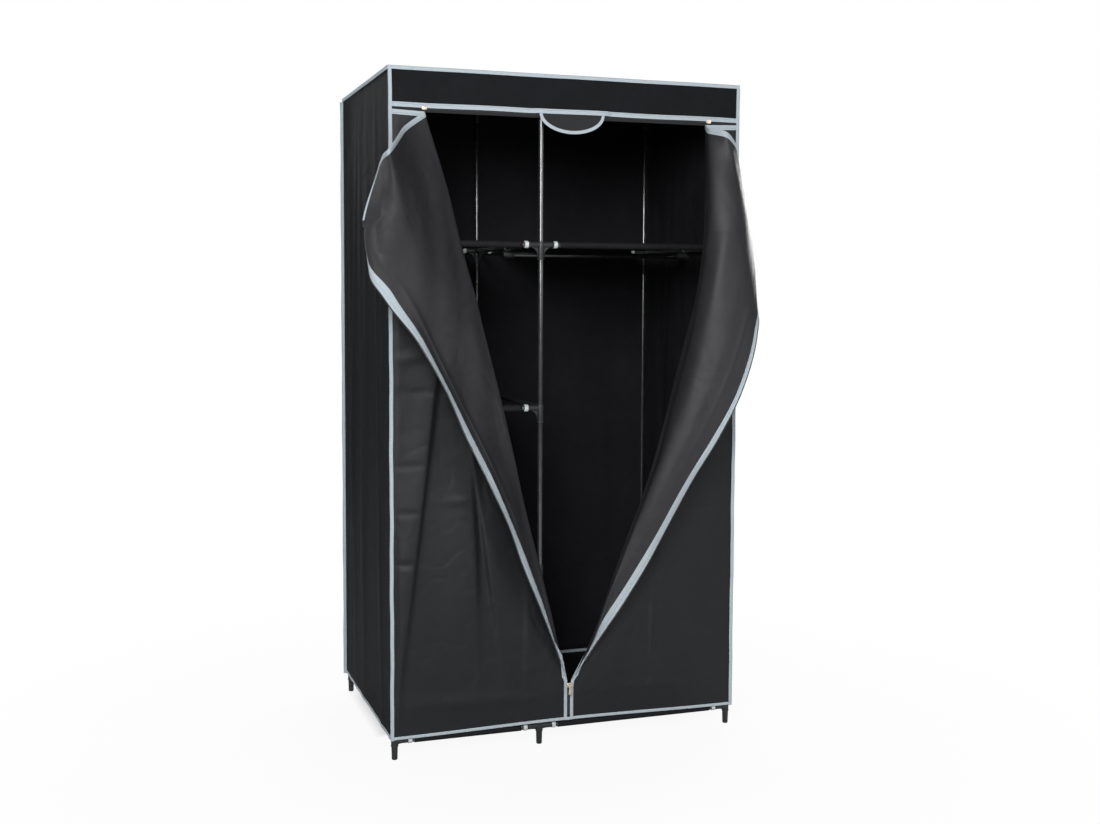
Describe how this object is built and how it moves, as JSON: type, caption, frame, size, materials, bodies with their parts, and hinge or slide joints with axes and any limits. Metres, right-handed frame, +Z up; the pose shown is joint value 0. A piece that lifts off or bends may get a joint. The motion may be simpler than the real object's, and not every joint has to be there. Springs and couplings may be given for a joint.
{
  "type": "portable fabric wardrobe",
  "caption": "Portable fabric wardrobe: push-fit tube frame with fabric shelves and hanging rail in a zipped cover, its two door flaps folded open.",
  "frame": {"origin": "middle of the overall box, on the floor", "axes": "+X to the right seen from the front, the front with its two flaps faces -Y, +Z up"},
  "size_m": [0.9556, 0.7742, 1.599],
  "materials": {
    "tube": "glossy dark grey paint on thin steel tube",
    "connector": "satin black moulded plastic",
    "shelf_cloth": "non-woven fabric",
    "flap_cloth": "non-woven fabric, light grey bound edge",
    "cover_cloth": "non-woven fabric with light grey bound seams",
    "zip": "coil zip on woven tape",
    "slider": "bright cast slider"
  },
  "bodies": {
    "wardrobe": {"back_panel": "cover_cloth", "centre_zip_chain": "zip", "front_panel_left": "cover_cloth", "front_panel_right": "cover_cloth", "hanging_rail": "tube", "header_band": "cover_cloth", "post_back_left": "tube", "post_back_middle": "tube", "post_back_right": "tube", "post_front_left": "tube", "post_front_middle": "tube", "post_front_right": "tube", "rail_bracket_left": "connector", "rail_bracket_right": "connector", "roof_panel": "cover_cloth", "rung_bottom_left": "connector", "rung_bottom_middle": "connector", "rung_bottom_right": "connector", "rung_lower_left": "connector", "rung_lower_middle": "connector", "rung_mid_left": "connector", "rung_mid_middle": "connector", "rung_top_left": "connector", "rung_top_middle": "connector", "rung_top_right": "connector", "rung_upper_left": "connector", "rung_upper_middle": "connector", "rung_upper_right": "connector", "shelf_bottom_left": "shelf_cloth", "shelf_bottom_right": "shelf_cloth", "shelf_lower_left": "shelf_cloth", "shelf_mid_left": "shelf_cloth", "shelf_upper_left": "shelf_cloth", "shelf_upper_right": "shelf_cloth", "side_panel_left": "cover_cloth", "side_panel_right": "cover_cloth", "top_zip_tape": "zip", "tube_back_bottom_left": "tube", "tube_back_bottom_right": "tube", "tube_back_lower_left": "tube", "tube_back_mid_left": "tube", "tube_back_top_left": "tube", "tube_back_top_right": "tube", "tube_back_upper_left": "tube", "tube_back_upper_right": "tube", "tube_front_bottom_left": "tube", "tube_front_bottom_right": "tube", "tube_front_lower_left": "tube", "tube_front_mid_left": "tube", "tube_front_top_left": "tube", "tube_front_top_right": "tube", "tube_front_upper_left": "tube", "tube_front_upper_right": "tube"},
    "left_flap": {"door_flap_left": "flap_cloth"},
    "right_flap": {"door_flap_right": "flap_cloth"},
    "left_top_slider": {"top_slider_left": "slider"},
    "right_top_slider": {"top_slider_right": "slider"},
    "centre_slider": {"centre_slider": "slider"},
    "centre_pull": {"centre_pull": "slider"},
    "cover_tab": {"zip_cover_tab": "cover_cloth"}
  },
  "joints": [
    {"name": "left_flap_fold", "type": "hinge", "parent": "wardrobe", "child": "left_flap", "pos_m": [-0.13565, -0.1974, 0.82875], "axis": [-0.2503, 0, 0.9682], "range_deg": [0, 100]},
    {"name": "right_flap_fold", "type": "hinge", "parent": "wardrobe", "child": "right_flap", "pos_m": [0.20633, -0.1974, 0.825], "axis": [-0.2442, 0, -0.9697], "range_deg": [0, 70]},
    {"name": "left_top_slider_slide", "type": "slide", "parent": "wardrobe", "child": "left_top_slider", "axis": [1, 0, 0], "range_m": [0, 0.345]},
    {"name": "right_top_slider_slide", "type": "slide", "parent": "wardrobe", "child": "right_top_slider", "axis": [-1, 0, 0], "range_m": [0, 0.345]},
    {"name": "centre_slider_slide", "type": "slide", "parent": "wardrobe", "child": "centre_slider", "axis": [0, 0, -1], "range_m": [0, 0.06]},
    {"name": "centre_pull_hinge", "type": "hinge", "parent": "centre_slider", "child": "centre_pull", "pos_m": [0.02883, -0.2054, 0.141], "axis": [-1, 0, 0], "range_deg": [0, 150]},
    {"name": "cover_tab_lift", "type": "hinge", "parent": "wardrobe", "child": "cover_tab", "pos_m": [0.02883, -0.1979, 1.519], "axis": [-1, 0, 0], "range_deg": [0, 80]}
  ],
  "couplings": [
    {"joint": "left_top_slider_slide", "follows": "left_flap_fold", "m_per_rad": 0.1971},
    {"joint": "right_top_slider_slide", "follows": "right_flap_fold", "m_per_rad": 0.28157}
  ]
}
